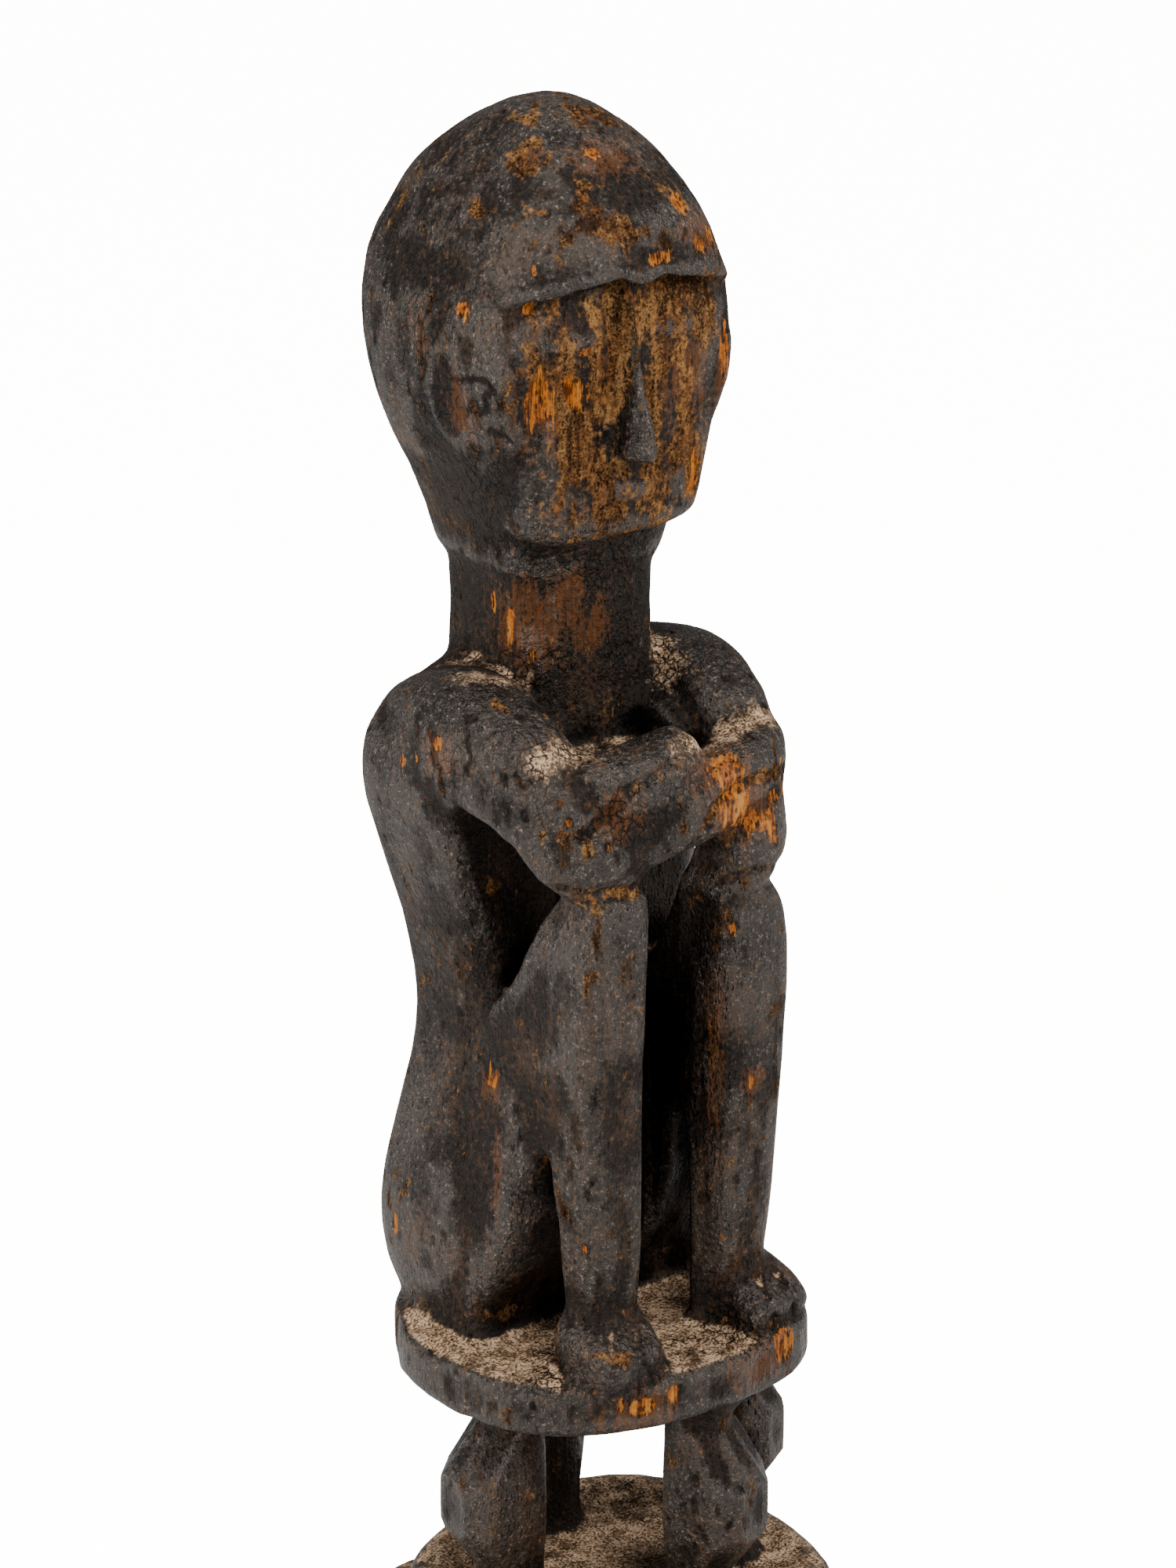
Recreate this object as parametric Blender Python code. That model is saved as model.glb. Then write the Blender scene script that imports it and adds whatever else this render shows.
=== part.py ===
# A seated guardian figure with its round seat, four bulging struts, disc and foot plate,
# all carved from one block of dark hardwood.
# Metres, +Z up. The figure faces -Y and its left hand is at +X. The origin is the middle of the underside.

from math import cos, pi, radians, sin

import bmesh
import bpy
from mathutils import Vector

# Height of each level of the stand
FOOT_PLATE_HEIGHT = 0.022
DISC_HEIGHT = 0.028
STRUT_HEIGHT = 0.076
SEAT_PLATE_HEIGHT = 0.019

# Half widths of the stand's plates, with the seat plate's fuller front corner and its direction in degrees
FOOT_PLATE_REACH = 0.081
DISC_REACH = 0.066
SEAT_PLATE_REACH = 0.0645
SEAT_PLATE_DEPTH = 0.0590
SEAT_PLATE_CORNER = 0.006
SEAT_CORNER_ANGLE = -50
SEAT_MIDDLE = (-0.002, 0.005)
DISC_MIDDLE = (0.0, -0.008)

# How square the outlines are: 2 is round, and larger numbers are squarer
FOOT_PLATE_SQUARENESS = 3
DISC_SQUARENESS = 2.5
SEAT_SQUARENESS = 2.3
STRUT_SQUARENESS = 3.2

# Worn rims of the plates, and how far one level of the block is sunk into the next
RIM_WEAR = 0.0025
LEVEL_OVERLAP = 0.004

# How far the figure, seat, struts and disc sit forward of the foot plate's middle
FORWARD = 0.004

# Struts between the disc and the seat plate, with the share of its height that each one's bulge is raised
STRUT_ANGLES = (173, 287, 86, 336)
STRUT_RISES = (0.02, 0.02, 0.05, 0.12)
STRUT_RING = 0.039
STRUT_NECK = 0.0118
STRUT_BULGE = 0.0172
STRUT_SIDE_SWELL = 0.65

# The seated figure; its pose and carving are drawn on a grid of 393 steps to its height
FIGURE_HEIGHT = 0.393
GRID = FIGURE_HEIGHT / 393
BODY_AXIS = 29

# Fineness of the carving and of the finished facets
CHISEL_SIZE = 0.0018
EDGE_WEAR = 4
FACETS = 9600

DISC_BOTTOM = FOOT_PLATE_HEIGHT
STRUT_BOTTOM = DISC_BOTTOM + DISC_HEIGHT
STRUT_TOP = STRUT_BOTTOM + STRUT_HEIGHT
SEAT_TOP = STRUT_TOP + SEAT_PLATE_HEIGHT

WOOD_COLOUR = (0.032, 0.024, 0.020, 1.0)
RING_POINTS = 40
STEPS_BETWEEN = 6


def at(x, y, z):
    """A place on the figure, in grid steps, with z counted up from the top of the seat plate."""
    return Vector((x * GRID, y * GRID - FORWARD, SEAT_TOP + z * GRID))


def smooth_between(before, start, end, after, t):
    """Catmull-Rom curve through the values of neighbouring stations."""
    return 0.5 * (2 * start + (end - before) * t
                  + (2 * before - 5 * start + 4 * end - after) * t * t
                  + (3 * start - before - 3 * end + after) * t * t * t)


def smooth_rows(rows, steps=STEPS_BETWEEN):
    """Rows of numbers filled in smoothly between the given ones."""
    filled = []
    for i in range(len(rows) - 1):
        window = [rows[max(i - 1, 0)], rows[i], rows[i + 1], rows[min(i + 2, len(rows) - 1)]]
        for s in range(steps):
            filled.append([smooth_between(*values, s / steps) for values in zip(*window)])
    filled.append(list(rows[-1]))
    return filled


def rounded_square(angle, half_x, half_y, squareness):
    """A point of a superellipse: 2 gives an ellipse, larger numbers a squarer outline."""
    c, s = cos(angle), sin(angle)
    x = half_x * (abs(c) ** (2 / squareness)) * (1 if c >= 0 else -1)
    y = half_y * (abs(s) ** (2 / squareness)) * (1 if s >= 0 else -1)
    return x, y


def skin(body, rings):
    """Closes a stack of rings of points into one solid shell."""
    loops = [[body.verts.new(point) for point in ring] for ring in rings]
    count = len(loops[0])
    for lower, upper in zip(loops, loops[1:]):
        for i in range(count):
            j = (i + 1) % count
            body.faces.new((lower[i], lower[j], upper[j], upper[i]))
    for loop, first in ((loops[0], True), (loops[-1], False)):
        middle = body.verts.new(sum((v.co for v in loop), Vector()) / count)
        for i in range(count):
            j = (i + 1) % count
            body.faces.new((loop[j], loop[i], middle) if first else (loop[i], loop[j], middle))


def column(body, stations):
    """A form built up level by level: each station is z, mid x, mid y, half x, half y, squareness."""
    rings = []
    for z, mid_x, mid_y, half_x, half_y, squareness in smooth_rows(stations):
        ring = []
        for i in range(RING_POINTS):
            x, y = rounded_square(2 * pi * i / RING_POINTS, half_x, half_y, squareness)
            ring.append(at(mid_x + x, mid_y + y, z))
        rings.append(ring)
    skin(body, rings)


def limb(body, stations, squareness=2.4):
    """A form that follows a path: each station is x, y, z, half width across, half height."""
    rows = smooth_rows(stations)
    rings = []
    for i, row in enumerate(rows):
        x, y, z, across, high = row
        ahead, behind = rows[min(i + 1, len(rows) - 1)], rows[max(i - 1, 0)]
        along = Vector(ahead[:3]) - Vector(behind[:3])
        along.normalize()
        side = along.cross(Vector((0, 0, 1)))
        if side.length < 0.3:
            side = Vector((1, 0, 0))
        side.normalize()
        up = side.cross(along)
        ring = []
        for k in range(RING_POINTS):
            a, b = rounded_square(2 * pi * k / RING_POINTS, across, high, squareness)
            place = Vector((x, y, z)) + side * a + up * b
            ring.append(at(*place))
        rings.append(ring)
    skin(body, rings)


def prism(body, outline, low, high, axis="x"):
    """An outline of (y, z) grid places carried along X, or of (x, z) places carried along Y."""
    rings = []
    for depth in (low, high):
        if axis == "x":
            rings.append([at(depth, a, b) for a, b in outline])
        else:
            rings.append([at(a, depth, b) for a, b in outline])
    skin(body, rings)


def plate(body, bottom, height, wide, deep, squareness, middle=(0, 0), shift=0.0, corner=0.0):
    """A round-cornered plate of the stand, in metres, with worn rims and one fuller front corner."""
    levels = ((0, -RIM_WEAR), (RIM_WEAR, 0), (height - RIM_WEAR, 0), (height, -RIM_WEAR))
    rings = []
    for rise, inset in levels:
        ring = []
        for i in range(RING_POINTS * 2):
            angle = pi * i / RING_POINTS
            x, y = rounded_square(angle, wide + inset, deep + inset, squareness)
            grown = 1 + corner / wide * max(0, cos(angle - radians(SEAT_CORNER_ANGLE))) ** 6
            ring.append(Vector((x * grown + middle[0], y * grown + middle[1] + shift, bottom + rise)))
        rings.append(ring)
    skin(body, rings)


def strut(body, angle, rise):
    """A knob-shaped strut whose bulge slopes out from the seat plate and turns back in below."""
    out = Vector((cos(radians(angle)), sin(radians(angle)), 0))
    across = Vector((-out.y, out.x, 0))
    low, high = STRUT_BOTTOM - LEVEL_OVERLAP, STRUT_TOP + LEVEL_OVERLAP
    grown = STRUT_BULGE - STRUT_NECK
    stations = []
    for share, swell in ((0, 0.1), (0.14, 0), (0.26, 0.5), (0.36, 0.95), (0.44, 1), (0.58, 1), (0.70, 0.6),
                         (0.84, 0.15), (1, 0)):
        raised = share + rise if 0 < share < 1 else share
        stations.append((low + raised * (high - low), STRUT_RING + swell * grown,
                         STRUT_NECK + swell * grown, STRUT_NECK + STRUT_SIDE_SWELL * swell * grown))
    rings = []
    for z, distance, deep, wide in smooth_rows(stations):
        ring = []
        for i in range(RING_POINTS):
            a, b = rounded_square(2 * pi * i / RING_POINTS, deep, wide, STRUT_SQUARENESS)
            ring.append(out * (distance + a) + across * b + Vector((0, -FORWARD, z)))
        rings.append(ring)
    skin(body, rings)


def head(body):
    """Skull like an acorn on a thick, squarish neck."""
    axis = BODY_AXIS
    column(body, [(250, 0, axis + 1, 30, 30, 3.6),
                  (263, 0, axis + 1, 33.5, 34.5, 3.2),
                  (275, 0, axis + 1, 38, 41, 2.8),
                  (287, 0, axis + 1, 43, 47, 2.8),
                  (299, 0, axis, 46.5, 52.5, 2.9),
                  (311, 0, axis, 48.5, 54.5, 3),
                  (322, 0, axis + 1, 49, 54, 3.1),
                  (334, 0, axis + 2, 48.5, 51.5, 3.2),
                  (346, 0, axis + 3, 45.5, 49.5, 3.1),
                  (358, 0, axis + 2, 41.5, 46.5, 2.7),
                  (369, 0, axis + 3, 35.5, 39.5, 2.6),
                  (379, 0, axis + 2, 26.5, 30, 2.5),
                  (386, 0, axis + 1, 17.5, 20, 2.4),
                  (390, 0, axis, 10.5, 12, 2.2),
                  (392.5, 0, axis, 3, 3, 2)])
    column(body, [(190, 0, axis + 1, 29, 29, 4),
                  (212, 0, axis + 0.5, 27.5, 27, 4),
                  (240, 0, axis + 0.5, 27, 27, 3.8),
                  (265, 0, axis + 0.5, 30, 29, 3.4)])


def face_plate(body):
    """A slightly rounded plate set back under the brow and narrowing to the chin."""
    column(body, [(260, 0, 12, 20, 16, 5),
                  (263, 0, 12, 30, 19.5, 6),
                  (268, 0, 12, 33.5, 20.5, 6),
                  (280, 0, 12, 36.5, 21, 6),
                  (295, 0, 12, 40, 21, 6),
                  (315, 0, 12, 43.5, 21, 6),
                  (329, 0, 12, 44.5, 20.5, 5),
                  (341, 0, 12, 40, 19, 4)])


def nose(body):
    """A long straight wedge that widens down to a blunt tip."""
    rings = []
    for z, front, half in ((340, -11, 3.0), (310, -17, 3.6), (291, -23, 5.6), (287, -22, 6.0)):
        rings.append([at(-half, -4, z), at(-half * 0.9, front + 5, z), at(-half * 0.25, front, z),
                      at(half * 0.25, front, z), at(half * 0.9, front + 5, z), at(half, -4, z)])
    skin(body, rings)


def mouth(body):
    """A small raised pad for the lips."""
    limb(body, [(-10, -8.5, 276, 2, 2.6), (0, -10.5, 276.5, 2.4, 3), (10, -8.5, 276, 2, 2.6)])


def torso(body):
    """Flat-sided trunk from the buttocks to the shoulders."""
    column(body, [(-3, 0, 29, 47, 28, 3.4),
                  (8, 0, 30, 53, 32, 3.4),
                  (24, 0, 31, 55.5, 34.5, 3.4),
                  (44, 0, 31, 54.5, 33.5, 3.4),
                  (66, 0, 31, 50, 29.5, 3.4),
                  (88, 0, 31, 44.5, 25.5, 3.6),
                  (108, 0, 31, 43.5, 25, 3.8),
                  (130, 0, 32, 46.5, 26, 4),
                  (155, 0, 33, 53, 28.5, 4.2),
                  (178, 0, 33, 58.5, 31, 4.2),
                  (196, 0, 32, 57, 30.5, 4),
                  (206, 0, 31, 48.5, 26.5, 3.4),
                  (214, 0, 31, 38, 21, 3),
                  (219, 0, 31, 30, 16, 3)])
    column(body, [(172, 0, -2, 40, 14, 4), (184, 0, -2, 40, 14, 4), (192, 0, 0, 34, 12, 4)])


def arms(body):
    """Upper arms reaching forward to the knees, the left one full at the collar, and the crossed forearms."""
    limb(body, [(-34, 46, 187, 18, 21),
                (-39, 28, 194, 19, 23),
                (-42, 8, 197, 17, 23),
                (-42, -9, 192, 15, 21),
                (-39, -20, 182, 14, 18),
                (-33, -27, 173, 14.5, 15),
                (-29, -29, 166, 14.5, 12),
                (-28, -29, 159, 13, 9)], 2.8)
    limb(body, [(33, 46, 187, 18, 20),
                (36.5, 28, 194, 18, 22),
                (38, 8, 198, 16.8, 21),
                (36.5, -8, 194.5, 15, 19.5),
                (34, -20, 183, 13, 17),
                (30, -27, 169, 15.5, 15),
                (26, -28, 158, 16.5, 12),
                (21.5, -27, 149, 14, 8),
                (22, -24, 140, 11, 8)], 2.8)
    limb(body, [(25, 14, 196, 15, 19),
                (24, 0, 192, 14, 15),
                (25, -12, 186, 12, 12)], 2.6)
    limb(body, [(-31, -27, 171, 12, 14),
                (-10, -31, 176, 10, 12),
                (16, -33, 183, 11, 13),
                (33, -29, 187, 11, 13),
                (42, -22, 188, 9, 12)], 2.8)
    limb(body, [(-50, -13, 187, 6, 7),
                (-40, -21, 189, 9, 11),
                (-22, -30, 190, 11, 12.5),
                (-5, -30, 193, 11, 11),
                (8, -27, 196, 9, 9)], 2.6)


def leg(body, side, outer, knee):
    """Thigh and calf merged into one wedge, with its shin upright over the foot."""
    inner = 13
    rows = []
    for z, front, back, inset in ((-2, -38, 20, 6), (14, -38, 20, 6), (40, -40, 20, 4), (74, -41, 22, 1.5),
                                  (100, -41.5, 22, 0), (112, -42, 12, 0),
                                  (knee - 34, -42, 0, 0.5), (knee - 20, -42, -8, 1.5),
                                  (knee - 7, -41, -14, 5), (knee, -36, -18, 11)):
        far = outer - inset
        rows.append((z, side * (inner + far) / 2, (front + back) / 2, (far - inner) / 2, (back - front) / 2, 4.5))
    column(body, rows)
    column(body, [(4, side * 38, 18, 14, 26, 3), (30, side * 39, 17, 12, 27, 3), (60, side * 36, 10, 12, 26, 3),
                  (88, side * 33, 4, 12, 24, 3), (112, side * 31, -2, 11, 20, 3)])


def feet(body):
    """Blunt wedges that fan out to the plate's front edge."""
    limb(body, [(-27, -20, 8, 13, 10), (-27, -32, 8, 16, 10), (-25, -42, 5, 18, 7.5), (-23, -49, 2, 15, 4)], 3)
    limb(body, [(30, -20, 11, 13, 11), (31, -30, 10, 14, 10), (33, -40, 7, 14.5, 8), (34, -48, 3, 13, 5)], 3)


def under_arm_space(body):
    """The space behind the crossed arms, open at both sides between trunk, upper arm and thigh."""
    prism(body, [(9, 112), (10, 150), (9, 178), (4, 183), (-10, 181), (-20, 176), (-26, 167), (-23, 158),
                 (-16, 146), (-7, 128), (1, 118)], -80, 80)


def space_between_legs(body):
    """The tall gap between the shins, which runs back to the belly."""
    prism(body, [(-12.5, -0.5), (-13.5, 60), (-13.5, 120), (-13, 148), (-6, 156), (6, 156), (13, 148),
                 (13, 120), (12.5, 60), (11.5, -0.5)], -90, 9, "y")


def slit_behind_shin(body):
    """The narrow wedge-shaped slit between buttock and shin."""
    prism(body, [(-24, -0.5), (-24, 40), (-22, 66), (-19, 75), (-17, 70), (-13, 46), (-6, 26), (1, 12), (3, -0.5)],
          -80, 80)


def face_recess(body):
    """The room for the face, cut back under the brow ledge."""
    prism(body, [(-44, 325), (-43, 338), (-24, 343), (-8, 345), (0, 342), (8, 344), (24, 341), (44, 335),
                 (45, 325), (40.5, 300), (35, 277), (31, 262), (26, 240), (-26, 240), (-31, 262), (-35, 277),
                 (-40, 300)], -60, -3, "y")


def new_object(name, make_parts):
    """An object whose mesh is the shells that the given functions make."""
    body = bmesh.new()
    for make in make_parts:
        make(body)
    bmesh.ops.recalc_face_normals(body, faces=body.faces)
    mesh = bpy.data.meshes.new(name)
    body.to_mesh(mesh)
    body.free()
    made = bpy.data.objects.new(name, mesh)
    bpy.context.scene.collection.objects.link(made)
    return made


def guide(name, make_parts):
    tool = new_object(name, make_parts)
    tool.hide_render = True
    tool.display_type = "WIRE"
    return tool


def add_remesh(piece, size):
    step = piece.modifiers.new("carve", "REMESH")
    step.mode = "VOXEL"
    step.voxel_size = size


def add_boolean(piece, tool, operation="DIFFERENCE"):
    step = piece.modifiers.new(tool.name, "BOOLEAN")
    step.operation = operation
    step.solver = "EXACT"
    step.object = tool


def add_wear(piece, rounds):
    step = piece.modifiers.new("wear", "SMOOTH")
    step.factor = 0.5
    step.iterations = rounds


def add_facets(piece, ratio):
    step = piece.modifiers.new("facets", "DECIMATE")
    step.ratio = ratio
    step.use_collapse_triangulate = True


def triangle_count(piece):
    seen = piece.evaluated_get(bpy.context.evaluated_depsgraph_get())
    mesh = seen.to_mesh()
    count = sum(len(face.vertices) - 2 for face in mesh.polygons)
    seen.to_mesh_clear()
    return count


def dark_wood():
    """Old hardwood under a dark, dry crust of smoke and handling."""
    wood = bpy.data.materials.new("dark_wood")
    wood.use_nodes = True
    shader = wood.node_tree.nodes["Principled BSDF"]
    shader.inputs["Base Color"].default_value = WOOD_COLOUR
    shader.inputs["Roughness"].default_value = 0.62
    shader.inputs["Metallic"].default_value = 0.0
    return wood


def stand(body):
    """Foot plate, disc, seat plate and the struts between them."""
    sunk = LEVEL_OVERLAP
    plate(body, -sunk, FOOT_PLATE_HEIGHT + sunk, FOOT_PLATE_REACH, FOOT_PLATE_REACH, FOOT_PLATE_SQUARENESS)
    plate(body, DISC_BOTTOM - sunk, DISC_HEIGHT + sunk, DISC_REACH, DISC_REACH, DISC_SQUARENESS,
          DISC_MIDDLE, -FORWARD)
    plate(body, STRUT_TOP, SEAT_PLATE_HEIGHT, SEAT_PLATE_REACH, SEAT_PLATE_DEPTH, SEAT_SQUARENESS,
          SEAT_MIDDLE, -FORWARD, SEAT_PLATE_CORNER)
    for angle, rise in zip(STRUT_ANGLES, STRUT_RISES):
        strut(body, angle, rise)


def figure(body):
    torso(body)
    head(body)
    arms(body)
    leg(body, -1, 43, 162)
    leg(body, 1, 44.5, 153)
    feet(body)


def ground(body):
    """Everything below the flat underside."""
    far = 2 * FOOT_PLATE_REACH
    rings = []
    for z in (-FOOT_PLATE_HEIGHT, 0.0):
        rings.append([Vector((x, y, z)) for x, y in ((-far, -far), (far, -far), (far, far), (-far, far))])
    skin(body, rings)


def build():
    for leftover in list(bpy.data.objects):
        bpy.data.objects.remove(leftover)
    carved = new_object("carved_figure", (stand, figure))
    carved.data.materials.append(dark_wood())
    add_remesh(carved, CHISEL_SIZE)
    for name, make in (("face_cut", face_recess), ("arm_cut", under_arm_space),
                       ("leg_cut", space_between_legs), ("slit_cut", slit_behind_shin)):
        add_boolean(carved, guide(name, (make,)))
    for name, make in (("face_form", face_plate), ("nose_form", nose), ("mouth_form", mouth)):
        add_boolean(carved, guide(name, (make,)), "UNION")
    add_remesh(carved, CHISEL_SIZE)
    add_wear(carved, EDGE_WEAR)
    add_facets(carved, min(1.0, FACETS / triangle_count(carved)))
    add_boolean(carved, guide("ground_cut", (ground,)))
    carved.data.shade_smooth()


build()
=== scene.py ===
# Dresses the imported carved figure: one block of old hardwood with its crust, dust, bare patches and splits.
# Everything is in metres in the frame's own axes; sizes in the settings are millimetres where they say so.
from math import cos, pi, radians, sin

import bmesh
import bpy
import numpy as np
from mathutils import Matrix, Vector
from mathutils.bvhtree import BVHTree


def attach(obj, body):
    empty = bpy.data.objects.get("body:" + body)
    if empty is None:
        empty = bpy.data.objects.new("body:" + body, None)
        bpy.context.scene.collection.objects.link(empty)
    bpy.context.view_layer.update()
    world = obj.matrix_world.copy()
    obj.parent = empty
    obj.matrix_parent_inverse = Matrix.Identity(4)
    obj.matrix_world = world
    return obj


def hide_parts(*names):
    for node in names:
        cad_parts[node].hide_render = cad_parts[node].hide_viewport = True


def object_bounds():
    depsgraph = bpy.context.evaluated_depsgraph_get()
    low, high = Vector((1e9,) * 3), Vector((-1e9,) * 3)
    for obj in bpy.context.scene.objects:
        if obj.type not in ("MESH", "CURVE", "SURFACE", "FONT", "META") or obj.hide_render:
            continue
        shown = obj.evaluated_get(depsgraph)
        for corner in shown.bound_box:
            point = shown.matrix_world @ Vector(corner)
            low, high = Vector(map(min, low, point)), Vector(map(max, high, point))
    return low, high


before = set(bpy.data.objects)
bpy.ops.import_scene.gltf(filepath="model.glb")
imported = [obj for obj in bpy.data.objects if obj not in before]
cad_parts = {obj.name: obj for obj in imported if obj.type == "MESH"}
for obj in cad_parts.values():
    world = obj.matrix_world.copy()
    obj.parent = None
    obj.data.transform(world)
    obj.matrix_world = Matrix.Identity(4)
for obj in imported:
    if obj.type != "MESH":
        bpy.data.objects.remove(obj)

cadBox = [list(corner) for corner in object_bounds()]
mm = 0.001


def addNode(tree, kind, settings=None, sockets=None):
    # sockets maps an input's name or number to a value, or to the output it is linked from
    made = tree.nodes.new(kind)
    for name, value in (settings or {}).items():
        setattr(made, name, value)
    for name, value in (sockets or {}).items():
        if isinstance(value, bpy.types.NodeSocket):
            tree.links.new(value, made.inputs[name])
        else:
            made.inputs[name].default_value = value
    return made


def linear(hexColour):
    # an sRGB hex colour as the linear values that a shader takes
    parts = [int(hexColour[i:i + 2], 16) / 255 for i in (1, 3, 5)]
    return tuple(c / 12.92 if c <= 0.04045 else ((c + 0.055) / 1.055) ** 2.4 for c in parts) + (1.0,)


def eased(values, low, high):
    # 0 below low, 1 above high, and a smooth rise between them
    t = np.clip((values - low) / (high - low), 0, 1)
    return t * t * (3 - 2 * t)


# Skin: the solid's own surface, close enough meshed to take carving
skin = {
    "cell": 1.0,              # mm between points while the relief is cut
    "facetFade": 7,           # rounds of averaging that take the facets off
    "triangles": 188000,      # left after the flat places are thinned out
}


def meshPoints(mesh):
    flat = np.empty(len(mesh.vertices) * 3)
    mesh.vertices.foreach_get("co", flat)
    return flat.reshape(-1, 3) * 1000


def setPoints(mesh, points):
    mesh.vertices.foreach_set("co", (points * mm).ravel())
    mesh.update()


def meshNormals(mesh):
    flat = np.empty(len(mesh.vertices) * 3)
    mesh.vertices.foreach_get("normal", flat)
    return flat.reshape(-1, 3)


def meshEdges(mesh):
    flat = np.empty(len(mesh.edges) * 2, dtype=np.int32)
    mesh.edges.foreach_get("vertices", flat)
    return flat.reshape(-1, 2)


def averaged(values, edges, rounds):
    # each point's values replaced by the mean of its own and its neighbours', again and again
    count = len(values)
    a, b = edges[:, 0], edges[:, 1]
    near = np.bincount(a, minlength=count) + np.bincount(b, minlength=count)
    values = values.reshape(count, -1)
    for _ in range(rounds):
        total = np.empty_like(values)
        for k in range(values.shape[1]):
            total[:, k] = (np.bincount(a, weights=values[b, k], minlength=count)
                           + np.bincount(b, weights=values[a, k], minlength=count))
        values = 0.5 * values + 0.5 * total / near[:, None]
    return values


def evaluatedMesh(holder):
    depsgraph = bpy.context.evaluated_depsgraph_get()
    return bpy.data.meshes.new_from_object(holder.evaluated_get(depsgraph))


def swapMesh(holder, mesh):
    holder.modifiers.clear()
    old, holder.data = holder.data, mesh
    bpy.data.meshes.remove(old)


def closeCopy(node):
    # the solid's loose triangles merged into one shell, then meshed evenly
    shell = bmesh.new()
    shell.from_mesh(node.data)
    bmesh.ops.remove_doubles(shell, verts=shell.verts, dist=1e-6)
    mesh = bpy.data.meshes.new("carvedHardwood")
    shell.to_mesh(mesh)
    shell.free()
    made = bpy.data.objects.new("carvedHardwood", mesh)
    bpy.context.scene.collection.objects.link(made)
    remesh = made.modifiers.new("even", "REMESH")
    remesh.mode = "VOXEL"
    remesh.voxel_size = skin["cell"] * mm
    swapMesh(made, evaluatedMesh(made))
    return made


def fadeFacets(piece):
    # averages the facets away and then gives back the forms that the averaging shrank
    edges = meshEdges(piece.data)
    points = meshPoints(piece.data)
    low = averaged(points, edges, skin["facetFade"] * 2)
    setPoints(piece.data, low + averaged(points - low, edges, skin["facetFade"]))


# Carving that is too fine for the solid
carving = {
    "browLip": 0.9, "browLipWidth": 2.4,          # mm, the rounded edge over the face
    "browCrease": 1.3, "browCreaseWidth": 2.2,    # mm, the shadow line under it
    "lid": 1.3, "lidSlit": 0.7,                   # mm, closed eyes
    "mouthSlit": 0.9,                             # mm
    "ear": 0.5,                                   # mm, worn low relief
    "toe": 1.6,                                   # mm, notches between the toes
    "armCrease": 2.0,                             # mm, between the crossed forearms
    "elbowFill": 1.8,                             # mm, the left elbow's fullness over its knee
    "strutAngles": (173, 287, 86, 336),
    "strutMiddles": (87, 87, 90, 96),             # mm above the floor, where each bulge is widest
    "strutOut": 44.4,                             # mm from the stand's axis to the bulge's own
    "strutFoot": (51, 58), "strutHead": (116, 125),    # mm above the floor, where the flats fade in and out
    "strutInside": 10, "strutBeside": 19,         # mm from the bulge's middle that the flats may reach
    "forward": 4.0,                               # mm, the figure's shift towards the front
    "rimFlat": 1.7,                               # mm taken off a plate's rim in each flat
    "rimShare": 0.85,                             # how much of that is really cut
    "rimInside": 46,                              # mm from the axis where the rims begin
    "dish": 2.4, "dishRim": 1.8,                  # mm, the disc's hollowed top and its raised rim
}
browLine = [(-41, -9, 486), (-24, -18.5, 488), (-8, -21, 490), (0, -21.5, 487.5), (8, -21, 489),
            (24, -18.5, 486), (41, -8, 481)]
creaseLine = [(-38, -12, 482), (-24, -13, 486), (-8, -13, 488), (8, -13, 487), (24, -13, 484),
              (38, -12, 479)]
creases = {                                       # where one limb lies against another
    "forearms": [(4, -41, 347), (-3, -43, 345), (-10, -45, 342), (-18, -46, 339), (-25, -44, 338),
                 (-30, -43, 332), (-40, -43, 327)],
    "leftElbow": [(42, -38, 330), (28, -46, 332), (19, -48, 332), (13, -48, 330), (9, -47, 327),
                  (6, -47, 322)],
    "rightKnee": [(-44, -38, 309), (-39, -42, 308), (-23, -43, 305), (-14, -40, 304)],
    "leftKnee": [(10, -42, 299), (18, -46, 301), (24, -48, 302), (34, -44, 303)],
}
dustLines = {                                     # where dust lies along the upper sides of the arms
    "rightForearm": [(-46, -30, 349), (-37, -30, 349), (-25, -24, 345)],
    "leftForearm": [(0, -40, 347), (12, -36, 346), (26, -33, 344), (38, -34, 345)],
    "rightShoulder": [(-43, 9, 365), (-37, 1, 364), (-26, 0, 359)],
    "leftShoulder": [(27, 6, 362), (25, -4, 358)],
}
toeLines = [[(-32, -46, 160), (-38, -57, 149)], [(-22, -46, 159), (-25, -56, 146)],
            [(29, -45, 161), (29, -55, 147)], [(37, -45, 160), (39, -54, 147)]]
splits = {                                        # shrinkage splits, which follow the grain
    "ear": [(-49, 25, 474), (-49, 25, 464), (-49, 24, 459), (-48, 26, 455)],
    "temple": [(-48, 10, 459), (-47, 0, 461), (-46, -4, 461), (-45, -6, 459), (-46, -3, 456), (-45, -3, 452),
               (-46, 1, 450)],
    "templeFork": [(-47, 7, 448), (-47, 1, 453)],
    "jaw": [(-44, -3, 445), (-41, -8, 444), (-40, -9, 442)],
    "noseRoot": [(-8, -12, 484), (-6, -12, 477), (-5, -13, 470)],
    "cheekHole": [(-38, -11, 435), (-36, -12, 435)],
    "jawLow": [(-31, 11, 405), (-30, 11, 396)],
    "nape": [(-35, 0, 418), (-33, 0, 411)],
    "shoulder": [(-57, -7, 354), (-58, -10, 346)],
    "collar": [(-26, 4, 360), (-23, 3, 358), (-20, 2, 357)],
    "upperArm": [(-53, -26, 345), (-52, -29, 341), (-50, -31, 344)],
    "shin": [(36, -44, 260), (35, -45, 236), (36, -45, 221)],
    "backLong": [(6, 58, 300), (7, 60, 270), (5, 59, 246), (6, 60, 225)],
    "backHead": [(-12, 80, 480), (-11, 79, 462), (-13, 76, 447)],
    "seatRim": [(-30, 60, 142), (-31, 62, 134)],
}


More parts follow.
